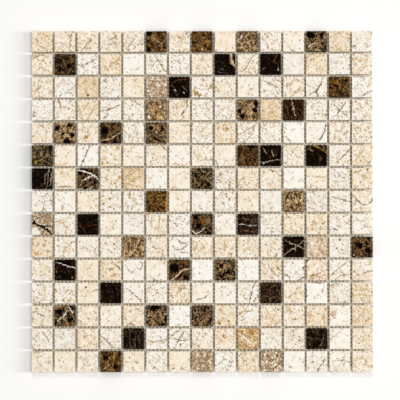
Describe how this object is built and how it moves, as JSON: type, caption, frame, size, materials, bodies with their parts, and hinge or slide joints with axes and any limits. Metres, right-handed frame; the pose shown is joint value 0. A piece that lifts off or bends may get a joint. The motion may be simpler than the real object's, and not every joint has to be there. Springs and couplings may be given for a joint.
{
  "type": "mosaic tile sheet",
  "caption": "Square sheet of small square polished marble chips in cream and brown, bonded in a straight grid to a fibre net.",
  "frame": {"origin": "under the middle of the sheet, on the floor side of its net", "axes": "+Z out of the polished faces; +X along a course of chips, towards the side where the net stops short; +Y across the courses, towards the first course"},
  "size_m": [0.3032, 0.3032, 0.0101],
  "materials": {
    "cream_marble": "satin",
    "brown_marble": "satin",
    "net_yarn": "matte",
    "bonding_resin": "satin"
  },
  "bodies": {
    "root": {"cream_chips_row_01": "cream_marble", "brown_chips_row_01": "brown_marble", "cream_chips_row_02": "cream_marble", "brown_chips_row_02": "brown_marble", "cream_chips_row_03": "cream_marble", "brown_chips_row_03": "brown_marble", "cream_chips_row_04": "cream_marble", "brown_chips_row_04": "brown_marble", "cream_chips_row_05": "cream_marble", "brown_chips_row_05": "brown_marble", "cream_chips_row_06": "cream_marble", "brown_chips_row_06": "brown_marble", "cream_chips_row_07": "cream_marble", "brown_chips_row_07": "brown_marble", "cream_chips_row_08": "cream_marble", "brown_chips_row_08": "brown_marble", "cream_chips_row_09": "cream_marble", "brown_chips_row_09": "brown_marble", "cream_chips_row_10": "cream_marble", "brown_chips_row_10": "brown_marble", "cream_chips_row_11": "cream_marble", "brown_chips_row_11": "brown_marble", "cream_chips_row_12": "cream_marble", "brown_chips_row_12": "brown_marble", "cream_chips_row_13": "cream_marble", "brown_chips_row_13": "brown_marble", "cream_chips_row_14": "cream_marble", "brown_chips_row_14": "brown_marble", "cream_chips_row_15": "cream_marble", "brown_chips_row_15": "brown_marble", "net_warp_yarns": "net_yarn", "net_weft_yarns": "net_yarn", "bonding_resin": "bonding_resin"}
  },
  "joints": []
}
